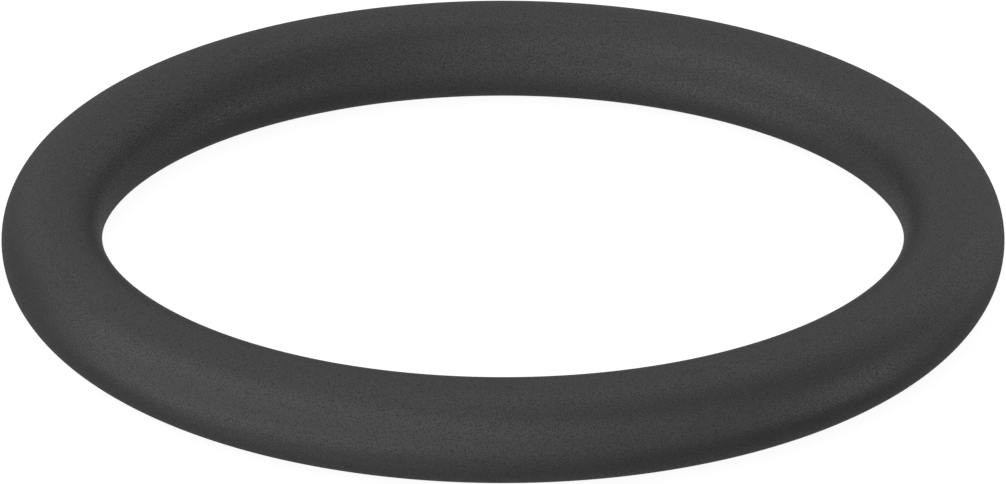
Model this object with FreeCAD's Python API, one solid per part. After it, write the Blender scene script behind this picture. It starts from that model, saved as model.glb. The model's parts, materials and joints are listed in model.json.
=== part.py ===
"""A moulded rubber o-ring, lying flat and unstretched.

The real ring is one piece, so it is one solid: a round section carried once round the ring's axis.
The origin is at the ring's centre, halfway up the section, and +Z runs along the ring's axis.
All sizes are in millimetres.
"""

import FreeCAD, Part
import math
import os

# The two sizes that an o-ring is sold by. Everything else follows from them.
INSIDE_DIAMETER = 28.17
SECTION_DIAMETER = 3.53

CENTRE = FreeCAD.Vector(0, 0, 0)
RING_AXIS = FreeCAD.Vector(0, 0, 1)
FULL_TURN = 360

SECTION_RADIUS = SECTION_DIAMETER / 2
# The circle that the middle of the section runs along.
CENTRELINE_RADIUS = (INSIDE_DIAMETER + SECTION_DIAMETER) / 2
OUTSIDE_DIAMETER = INSIDE_DIAMETER + 2 * SECTION_DIAMETER


def round_section():
    """The cut face of the ring, standing upright where the ring crosses the +X axis."""
    middle = CENTRE + FreeCAD.Vector(CENTRELINE_RADIUS, 0, 0)
    # It faces along the ring, which is the -Y direction where the ring crosses +X.
    along_the_ring = FreeCAD.Vector(0, -1, 0)
    edge = Part.Circle(middle, along_the_ring, SECTION_RADIUS).toShape()
    return Part.Face(Part.Wire(edge))


def o_ring():
    """The round section carried once round the ring's axis, as the mould's cavity shapes it."""
    return round_section().revolve(CENTRE, RING_AXIS, FULL_TURN)


def check_and_print(ring):
    """The ring's sizes and volume, beside the volume that a true ring of these sizes has."""
    true_volume = math.pi * SECTION_RADIUS**2 * 2 * math.pi * CENTRELINE_RADIUS
    box = ring.optimalBoundingBox(False, False)
    print(f"inside {INSIDE_DIAMETER:.2f}, section {SECTION_DIAMETER:.2f}, outside {OUTSIDE_DIAMETER:.2f} mm")
    print(f"box {box.XLength:.3f} x {box.YLength:.3f} x {box.ZLength:.3f} mm")
    print(f"volume {ring.Volume:.3f} mm3, and a true ring's is {true_volume:.3f} mm3")
    if not (ring.isValid() and ring.isClosed() and len(ring.Solids) == 1):
        raise ValueError("the ring isn't one valid, closed solid")


def main():
    os.makedirs("parts", exist_ok=True)
    ring = o_ring()
    check_and_print(ring)
    ring.exportStep("parts/o_ring.step")


main()
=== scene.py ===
# %% [markdown]
# # A black rubber o-ring, from its mould to the photographer's table
#
# An o-ring is the plainest seal there is: one loop of rubber with a round section. It sits in a
# groove, is squeezed a little, and fills the gap. This one is the size that is sold as 28.17 by
# 3.53 mm. It lies flat and unstretched.
#
# With a form this plain, everything that tells the eye "rubber" is in the skin and in the light.
# So most of this lesson is about how dark the rubber is, how wide its highlights spread, how fine
# its grain is, and what stands round it to be mirrored.
#
# First comes the frame. It is the same ring as CAD made it, and it says where everything goes.

# %% Load the ring that CAD made
import json
import math

import bmesh
import bpy
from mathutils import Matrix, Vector


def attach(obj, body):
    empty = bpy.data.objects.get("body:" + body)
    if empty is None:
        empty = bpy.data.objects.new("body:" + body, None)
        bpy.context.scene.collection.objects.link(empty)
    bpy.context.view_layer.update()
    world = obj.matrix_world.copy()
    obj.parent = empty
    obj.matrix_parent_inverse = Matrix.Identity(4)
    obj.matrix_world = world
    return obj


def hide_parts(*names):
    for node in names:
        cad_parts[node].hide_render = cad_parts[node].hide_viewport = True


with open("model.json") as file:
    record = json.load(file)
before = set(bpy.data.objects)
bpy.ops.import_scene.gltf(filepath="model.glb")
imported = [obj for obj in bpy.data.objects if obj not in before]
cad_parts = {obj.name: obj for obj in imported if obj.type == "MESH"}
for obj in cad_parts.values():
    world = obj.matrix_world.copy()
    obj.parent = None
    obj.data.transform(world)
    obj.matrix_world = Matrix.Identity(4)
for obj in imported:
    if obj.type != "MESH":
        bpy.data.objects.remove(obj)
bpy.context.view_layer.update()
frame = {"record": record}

MM = 0.001

# %% [markdown]
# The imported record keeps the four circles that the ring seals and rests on, with their exact
# radii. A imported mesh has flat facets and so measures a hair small, which is why the sizes come
# from the record here. Two of the circles are enough: the radius inside the ring and the one
# outside it give the thickness of the rubber and the circle that its middle runs along.

# %% Read the exact sizes
seal_radius = {mount["name"]: mount["dims"]["r_mm"] * MM for mount in frame["record"]["mounts"]}
inside_radius = seal_radius["inside_seal_line"]
outside_radius = seal_radius["outside_seal_line"]
section_radius = (outside_radius - inside_radius) / 2
centreline_radius = (outside_radius + inside_radius) / 2
print(f"section: {2 * section_radius / MM:.2f} mm thick")
print(f"centreline: {2 * centreline_radius / MM:.2f} mm across")

# %% [markdown]
# ## The skin of the ring
#
# The mould for such a ring is two plates with half a round groove in each. The rubber takes the
# groove's shape, so its section is a true circle all the way round.
#
# Blender has a ready-made torus, and a bevelled circle curve would also do. The skin is spun from
# a section here, as a lathe cuts the groove, because the two numbers that matter are then plain
# to see: how many steps go round the ring, and how many go round the section. With 480 and 96,
# no facet leaves the true circle by more than a thousandth of a millimetre, so neither edge of
# the ring shows a corner, even close up.

# %% Spin the section round the ring's axis
FULL_TURN = 2 * math.pi
STEPS_ROUND_RING = 480
STEPS_ROUND_SECTION = 96


def spun_skin(name):
    """A closed rubber skin: the round section, carried once round the vertical axis."""
    skin = bmesh.new()
    section = []
    for step in range(STEPS_ROUND_SECTION):
        # It starts at the bottom, on the line that the ring rests on.
        turn = FULL_TURN * step / STEPS_ROUND_SECTION - math.pi / 2
        across = centreline_radius + section_radius * math.cos(turn)
        section.append(skin.verts.new((across, 0, section_radius * math.sin(turn))))
    edges = [skin.edges.new((a, b)) for a, b in zip(section, section[1:] + section[:1])]
    bmesh.ops.spin(
        skin,
        geom=section + edges,
        cent=(0, 0, 0),
        axis=(0, 0, 1),
        steps=STEPS_ROUND_RING,
        angle=FULL_TURN,
        use_merge=True,
    )
    bmesh.ops.recalc_face_normals(skin, faces=skin.faces)
    for face in skin.faces:
        face.smooth = True
    mesh = bpy.data.meshes.new(name)
    skin.to_mesh(mesh)
    skin.free()
    return mesh


ring_mesh = spun_skin("moulded_ring")
ring = bpy.data.objects.new("moulded_ring", ring_mesh)
bpy.context.scene.collection.objects.link(ring)
print("skin:", len(ring_mesh.vertices), "points and", len(ring_mesh.polygons), "faces")

# %% [markdown]
# ## A map for the baker
#
# When the ring leaves Blender, its colour, roughness and grain are baked into square images, and
# each face needs its own spot in the square. The grain is very fine, so no pixel should go to
# waste, and none should be stretched.
#
# Blender's automatic unwrap cuts a closed loop into many odd pieces. A ring can be laid out
# better. Cut along its resting line and into three arcs, it gives three straps, each 33 mm long
# and 11 mm wide. Stacked, they fill a square almost exactly.

# %% Lay the skin out as three straps
STRAPS = 3
# The gap kept at each edge of a strap, as a share of its own length or width.
MARGIN = 0.01


def around_section(x, y, z):
    """The angle of a point round the section, from its resting line outwards and up."""
    return math.atan2(z, math.hypot(x, y) - centreline_radius) + math.pi / 2


def nearest(angle, other):
    """The same direction as the angle, in the turn that brings it nearest to the other."""
    return math.remainder(angle - other, FULL_TURN) + other


def lay_out(mesh):
    """Gives each face its place in one of three stacked straps, cut along the resting line."""
    layer = mesh.uv_layers.new(name="OFBake")
    for face in mesh.polygons:
        x, y, z = face.center
        round_ring = math.atan2(y, x) % FULL_TURN
        round_section = around_section(x, y, z) % FULL_TURN
        strap = int(round_ring / FULL_TURN * STRAPS)
        for loop in face.loop_indices:
            x, y, z = mesh.vertices[mesh.loops[loop].vertex_index].co
            # A corner stays in its face's turn, so that no face is stretched over the whole map.
            u = nearest(math.atan2(y, x), round_ring) / FULL_TURN * STRAPS - strap
            v = nearest(around_section(x, y, z), round_section) / FULL_TURN
            layer.data[loop].uv = (
                MARGIN + u * (1 - 2 * MARGIN),
                (strap + MARGIN + v * (1 - 2 * MARGIN)) / STRAPS,
            )


lay_out(ring_mesh)
strap_length = FULL_TURN * centreline_radius / STRAPS
strap_width = FULL_TURN * section_radius
print(f"straps: {strap_length / MM:.1f} mm long and {strap_width / MM:.1f} mm wide")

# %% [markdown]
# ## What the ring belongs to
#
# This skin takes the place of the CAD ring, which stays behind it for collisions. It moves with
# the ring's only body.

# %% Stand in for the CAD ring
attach(ring, "root")
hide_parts("o_ring")

# %% [markdown]
# ## Two helpers for materials
#
# Colours are picked as people see them, in sRGB, and Blender reckons in linear light. One
# function does that change for every colour in the file. The other adds a node, with its
# settings, its numbers and the links that come into it.

# %% Write the two helpers


def linear(hex_colour):
    """An sRGB hex colour as the linear red, green, blue and alpha that Blender wants."""
    parts = [int(hex_colour[i : i + 2], 16) / 255 for i in (1, 3, 5)]
    return (*[c / 12.92 if c <= 0.04045 else ((c + 0.055) / 1.055) ** 2.4 for c in parts], 1.0)


def add_node(tree, kind, inputs, stops=(), **settings):
    """Adds a node. Inputs are by socket name or number: another node's socket, or a plain value.
    Stops are pairs of a place and a linear colour, for a node that has a ramp."""
    node = tree.nodes.new(kind)
    for name, value in settings.items():
        setattr(node, name, value)
    for number, (place, colour) in enumerate(stops):
        # A new ramp has two stops already.
        if number > 1:
            node.color_ramp.elements.new(place)
        node.color_ramp.elements[number].position = place
        node.color_ramp.elements[number].color = colour
    for socket, value in inputs.items():
        if isinstance(value, bpy.types.NodeSocket):
            tree.links.new(value, node.inputs[socket])
        else:
            node.inputs[socket].default_value = value
    return node


print("helpers: #2a2a2a is", [round(c, 4) for c in linear("#2a2a2a")[:3]], "in linear light")

# %% [markdown]
# ## Moulded nitrile rubber
#
# The real ring is nitrile rubber, filled with carbon black and cured in a steel mould. The carbon
# makes it a neutral near-black all through. The cavity is finely finished but not polished, so
# the skin is satin: it has no sharp reflection anywhere, only wide soft ones, and they carry
# more than half of the light that reaches the eye.
#
# Up close the skin is full of fine pits, the print of the grit that finished the cavity. That
# grit is about 0.02 mm, too fine to show at this distance, so it is drawn a little over twice as
# coarse, at 0.045 mm. One cell of the noise is then a little more than a pixel of the picture.
#
# One noise makes all of the grain, and it works three ways. It tilts the surface, as the pits do
# on the real skin. It paints the pit floors darker, which is painted shade in the pits, since the
# rubber itself is one near-black all through. And it makes the pit floors matt while the skin
# between them is smooth. The matt floors matter most. They take light out of the highlights and
# give a little back in the shadows, so the grain shows as dark specks, and shows best on the
# ring's bright side.
#
# Moulded rings are tumbled to take off their flash. They rub each other on the outside and
# hardly at all on the inside, so the grain is stronger on the inner wall.

# %% Make the rubber
RUBBER_IOR = 1.5
GRAIN_WIDTH_MM = 0.045
GRAIN_DEPTH_MM = 0.012
GRAIN_DETAIL = 0.0
# The noise runs from 0 to 1. These are the floor of a pit, its rim and the highest skin.
PIT_FLOOR = 0.30
PIT_RIM = 0.46
CREST = 0.65
NOISE_MIDDLE = 0.5
# The darker pit floor colour is painted shade in the pits. The rubber itself is one near-black.
GRAIN_AND_PIT_SHADE_COLOURS = {PIT_FLOOR: "#161616", PIT_RIM: "#2a2a2a", CREST: "#2f2f2f"}
PIT_ROUGHNESS = 0.6
# The skin between the pits was rubbed unevenly, in patches a few millimetres wide. The noise
# that places them seldom leaves this range.
PATCH_NOISE = (0.3, 0.7)
PATCH_WIDTH_MM = 3.0
PATCH_DETAIL = 3.0
RUBBED_ROUGHNESS = (0.24, 0.28)
# How strong the grain is on the inner wall, when it is 1 on the outside.
INNER_GRAIN = 1.6


def moulded_nitrile_rubber():
    """Near-black satin rubber with the fine pits of a blasted steel mould."""
    material = bpy.data.materials.new("moulded_nitrile_rubber")
    material.use_nodes = True
    tree = material.node_tree
    tree.nodes.clear()
    place = add_node(tree, "ShaderNodeTexCoord", {})
    in_mm = add_node(
        tree,
        "ShaderNodeVectorMath",
        {0: place.outputs["Object"], "Scale": 1 / MM},
        operation="SCALE",
    )
    noise = add_node(
        tree,
        "ShaderNodeTexNoise",
        {"Vector": in_mm.outputs[0], "Scale": 1 / GRAIN_WIDTH_MM, "Detail": GRAIN_DETAIL},
    )
    # With its height taken out, a place is as long as its distance from the ring's axis.
    level = add_node(
        tree, "ShaderNodeVectorMath", {0: in_mm.outputs[0], 1: (1, 1, 0)}, operation="MULTIPLY"
    )
    from_axis = add_node(tree, "ShaderNodeVectorMath", {0: level.outputs[0]}, operation="LENGTH")
    strength = add_node(
        tree,
        "ShaderNodeMapRange",
        {
            "Value": from_axis.outputs["Value"],
            "From Min": inside_radius / MM,
            "From Max": outside_radius / MM,
            "To Min": INNER_GRAIN,
            "To Max": 1.0,
        },
    )
    # It pushes the noise away from its middle by as much as the strength says. In a mix of
    # numbers, socket 0 is the factor, and 2 and 3 are the two numbers.
    grain = add_node(
        tree,
        "ShaderNodeMix",
        {0: strength.outputs["Result"], 2: NOISE_MIDDLE, 3: noise.outputs["Fac"]},
        data_type="FLOAT",
        clamp_factor=False,
    )
    # The colour darkens towards the pit floors. That darkening is painted shade in the pits.
    colour = add_node(
        tree,
        "ShaderNodeValToRGB",
        {"Fac": grain.outputs[0]},
        stops=[(height, linear(shade)) for height, shade in GRAIN_AND_PIT_SHADE_COLOURS.items()],
    )
    patches = add_node(
        tree,
        "ShaderNodeTexNoise",
        {"Vector": in_mm.outputs[0], "Scale": 1 / PATCH_WIDTH_MM, "Detail": PATCH_DETAIL},
    )
    rubbed = add_node(
        tree,
        "ShaderNodeMapRange",
        {
            "Value": patches.outputs["Fac"],
            "From Min": PATCH_NOISE[0],
            "From Max": PATCH_NOISE[1],
            "To Min": RUBBED_ROUGHNESS[0],
            "To Max": RUBBED_ROUGHNESS[1],
        },
    )
    rough = add_node(
        tree,
        "ShaderNodeMapRange",
        {
            "Value": noise.outputs["Fac"],
            "From Min": PIT_FLOOR,
            "From Max": NOISE_MIDDLE,
            "To Min": PIT_ROUGHNESS,
            "To Max": rubbed.outputs["Result"],
        },
    )
    bump = add_node(
        tree,
        "ShaderNodeBump",
        {"Height": grain.outputs[0], "Distance": GRAIN_DEPTH_MM * MM},
    )
    skin = add_node(
        tree,
        "ShaderNodeBsdfPrincipled",
        {
            "Base Color": colour.outputs["Color"],
            "Roughness": rough.outputs["Result"],
            "IOR": RUBBER_IOR,
            "Normal": bump.outputs["Normal"],
        },
    )
    add_node(tree, "ShaderNodeOutputMaterial", {"Surface": skin.outputs["BSDF"]})
    return material


rubber = moulded_nitrile_rubber()
ring_mesh.materials.append(rubber)
print("material:", rubber.name, "with", len(rubber.node_tree.nodes), "nodes")

# %% [markdown]
# ## The camera
#
# The picture looks down on the ring at 25 degrees. A ring seen so from far away is a plain
# ellipse. Here the near rim is a little larger than the far one, and that difference gives the
# distance: 263 mm. The lens then follows from how wide the ring is in the picture. The camera
# aims a touch below the ring's centre, which lifts the ring in the frame by 13.3 pixels.

# %% Set up the camera
PICTURE_WIDTH = 1006
CAMERA_HEIGHT_ANGLE = math.radians(25.0)
CAMERA_DISTANCE = 263 * MM
LENS = 267.5
SENSOR = 36
RING_LIFT = 13.3
NEAREST_SEEN = 10 * MM
FARTHEST_SEEN = 10

camera = bpy.data.objects.new("camera", bpy.data.cameras.new("camera"))
bpy.context.scene.collection.objects.link(camera)
bpy.context.scene.camera = camera
camera.data.sensor_width = SENSOR
camera.data.lens = LENS
camera.data.clip_start = NEAREST_SEEN
camera.data.clip_end = FARTHEST_SEEN
camera.location = (
    0,
    -CAMERA_DISTANCE * math.cos(CAMERA_HEIGHT_ANGLE),
    CAMERA_DISTANCE * math.sin(CAMERA_HEIGHT_ANGLE),
)
aim_below = math.atan(RING_LIFT / (LENS / SENSOR * PICTURE_WIDTH))
camera.rotation_euler = (math.pi / 2 - CAMERA_HEIGHT_ANGLE - aim_below, 0, 0)
print("camera:", [round(x / MM, 1) for x in camera.location], "mm, lens", LENS)

# %% [markdown]
# ## The table
#
# The photographer's table is white acrylic that glows from below, so it comes out as plain white
# with no edge. It is a large plane that gives out light of its own and also catches the lamps. The
# lamps' part is kept small, and it is all that the ring can shade, so the ring throws only a trace
# of a shadow.
#
# Only the camera sees it. What such a table does to the ring, which is to throw light back up at
# the underside, is done by the low lights further on. That keeps the two jobs apart: how white
# the table looks, and how much the ring's lower edge glows.

# %% Lay the table
TABLE_SIZE = 6.0
TABLE_GLOW = 0.93
TABLE_COLOUR = "#7c7c7c"
TABLE_ROUGHNESS = 0.9
ACRYLIC_IOR = 1.49
# The picture shows no mirror image of the ring in the table.
TABLE_SHEEN = 0.0


def lit_white_acrylic():
    """White acrylic, lit from below."""
    material = bpy.data.materials.new("lit_white_acrylic")
    material.use_nodes = True
    tree = material.node_tree
    tree.nodes.clear()
    sheet = add_node(
        tree,
        "ShaderNodeBsdfPrincipled",
        {
            "Base Color": linear(TABLE_COLOUR),
            "Roughness": TABLE_ROUGHNESS,
            "IOR": ACRYLIC_IOR,
            "Specular IOR Level": TABLE_SHEEN,
            "Emission Color": linear("#ffffff"),
            "Emission Strength": TABLE_GLOW,
        },
    )
    add_node(tree, "ShaderNodeOutputMaterial", {"Surface": sheet.outputs["BSDF"]})
    return material


def table_top():
    """A flat sheet whose top touches the ring's resting line."""
    sheet = bmesh.new()
    half = TABLE_SIZE / 2
    corners = [(-half, -half), (half, -half), (half, half), (-half, half)]
    sheet.faces.new([sheet.verts.new((x, y, -section_radius)) for x, y in corners])
    mesh = bpy.data.meshes.new("table")
    sheet.to_mesh(mesh)
    sheet.free()
    return mesh


table = bpy.data.objects.new("table", table_top())
bpy.context.scene.collection.objects.link(table)
table.data.materials.append(lit_white_acrylic())
table.visible_diffuse = False
table.visible_glossy = False
table.visible_transmission = False
table.visible_shadow = False
print("table:", TABLE_SIZE, "m across, top at", round(-section_radius / MM, 3), "mm")

# %% [markdown]
# ## The room
#
# Satin rubber is a dim, blurred mirror, so the room is half of its looks. A studio with a white
# ceiling, grey walls and a dim floor does most of the work: the skin is brightest on top, where
# it mirrors the ceiling, and darkens down its sides. The room's light changes with height alone.
#
# The camera sees plain white instead, which carries the table on to the horizon.

# %% Light the room
# Radiance, by height from straight down (-1) to straight up (1).
ROOM_LIGHT = [
    (-1.0, 0.24),
    (-0.77, 0.155),
    (0.0, 0.205),
    (0.42, 0.44),
    (0.77, 0.51),
    (1.0, 0.96),
]
# The radiance that white stands for in the ramp, whose colours are shares of it.
RAMP_WHITE = 1.2
# A little over 1, so that it comes out plain white.
WHITE_FOR_CAMERA = 1.1


def studio_room():
    """Light that changes only with height, and plain white for the camera."""
    world = bpy.data.worlds.new("studio_room")
    world.use_nodes = True
    tree = world.node_tree
    tree.nodes.clear()
    direction = add_node(tree, "ShaderNodeTexCoord", {})
    split = add_node(tree, "ShaderNodeSeparateXYZ", {"Vector": direction.outputs["Generated"]})
    height = add_node(
        tree,
        "ShaderNodeMapRange",
        {"Value": split.outputs["Z"], "From Min": -1.0, "From Max": 1.0},
    )
    ramp = add_node(
        tree,
        "ShaderNodeValToRGB",
        {"Fac": height.outputs["Result"]},
        stops=[((z + 1) / 2, (*[glow / RAMP_WHITE] * 3, 1.0)) for z, glow in ROOM_LIGHT],
    )
    room = add_node(
        tree, "ShaderNodeBackground", {"Color": ramp.outputs["Color"], "Strength": RAMP_WHITE}
    )
    white = add_node(
        tree, "ShaderNodeBackground", {"Color": linear("#ffffff"), "Strength": WHITE_FOR_CAMERA}
    )
    ray = add_node(tree, "ShaderNodeLightPath", {})
    seen = add_node(
        tree,
        "ShaderNodeMixShader",
        {0: ray.outputs["Is Camera Ray"], 1: room.outputs[0], 2: white.outputs[0]},
    )
    add_node(tree, "ShaderNodeOutputWorld", {"Surface": seen.outputs[0]})
    return world


bpy.context.scene.world = studio_room()
glows = [glow for z, glow in ROOM_LIGHT]
print("room: from", min(glows), "to", max(glows))

# %% [markdown]
# ## The lamps
#
# Each lamp is a large soft panel that faces the ring. What counts on a round section is where a
# panel stands, how much of the view it fills and how bright it looks, not how far off it is. So
# each one is given just so: the compass angle from the right, counted towards the back, the
# angle of height, its width and height as a share of its distance, and its radiance.
#
# The three that are named for the table's glow hang below the table's height. They stand for the
# light that a lit table throws up at the ring's underside, which the table itself leaves to them.

# %% Hang the lamps
LAMP_DISTANCE = 1.5
# Compass and height angles in degrees, width and height as shares of the distance, radiance.
LAMPS = {
    "front_left_window": (219, 10, 3.50, 2.34, 0.87),
    "table_glow_front_left": (232, -47, 1.89, 1.19, 0.345),
    "table_glow_right": (352, -12, 0.71, 0.76, 0.795),
    "back_right_strip": (37, 28, 0.78, 1.88, 0.24),
    "front_right_fill": (302, -5, 0.88, 1.44, 0.595),
    "back_top_card": (138, 54, 1.02, 1.78, 0.177),
    "table_glow_front_right": (300, -48, 1.40, 0.80, 0.044),
}


def hidden_lamp(name, shape):
    """An area lamp of this shape that the camera doesn't see."""
    lamp = bpy.data.objects.new(name, bpy.data.lights.new(name, "AREA"))
    bpy.context.scene.collection.objects.link(lamp)
    lamp.data.shape = shape
    lamp.visible_camera = False
    return lamp


def soft_lamp(name, compass, height, wide, high, radiance):
    """A rectangular panel that faces the ring, of even radiance all over."""
    lamp = hidden_lamp(name, "RECTANGLE")
    lamp.data.size = wide * LAMP_DISTANCE
    lamp.data.size_y = high * LAMP_DISTANCE
    # A flat panel that shines evenly to all sides gives off pi times its radiance per area.
    lamp.data.energy = math.pi * radiance * lamp.data.size * lamp.data.size_y
    compass = math.radians(compass)
    height = math.radians(height)
    outward = Vector(
        (
            math.cos(height) * math.cos(compass),
            math.cos(height) * math.sin(compass),
            math.sin(height),
        )
    )
    lamp.location = outward * LAMP_DISTANCE
    lamp.rotation_euler = outward.to_track_quat("Z", "Y").to_euler()
    return lamp


for lamp_name, figures in LAMPS.items():
    lamp = soft_lamp(lamp_name, *figures)
    print(f"lamp {lamp_name}: {lamp.data.energy:.2f} W")

# %% [markdown]
# One patch of the table works from close by: the part inside the ring. It throws a little light
# up at the inner wall, where the low lamps can't shine past the ring itself.

# %% Let the table glow inside the ring
INSIDE_GLOW = 0.065


def table_glow():
    """A disc on the table, as wide as the hole, that shines up."""
    lamp = hidden_lamp("table_glow_inside", "DISK")
    lamp.data.size = 2 * inside_radius
    lamp.data.energy = math.pi * INSIDE_GLOW * math.pi * inside_radius**2
    lamp.location = (0, 0, -section_radius)
    # An area lamp shines down until it is turned over.
    lamp.rotation_euler = (math.pi, 0, 0)
    return lamp


print(f"glow inside the ring: {table_glow().data.energy * 1000:.2f} mW")

# %% [markdown]
# ## Tone
#
# The picture is shown as it was reckoned, with no film curve, so that the greys are those of the
# lights and the rubber and nothing else. The denoiser stays off, because it takes grain as fine
# as this for noise and smears it, most of all where the skin turns away.

# %% Show plain tones
bpy.context.scene.view_settings.view_transform = "Standard"
bpy.context.scene.view_settings.look = "None"
bpy.context.scene.cycles.use_denoising = False
print("tones:", bpy.context.scene.view_settings.view_transform, "with no denoising")
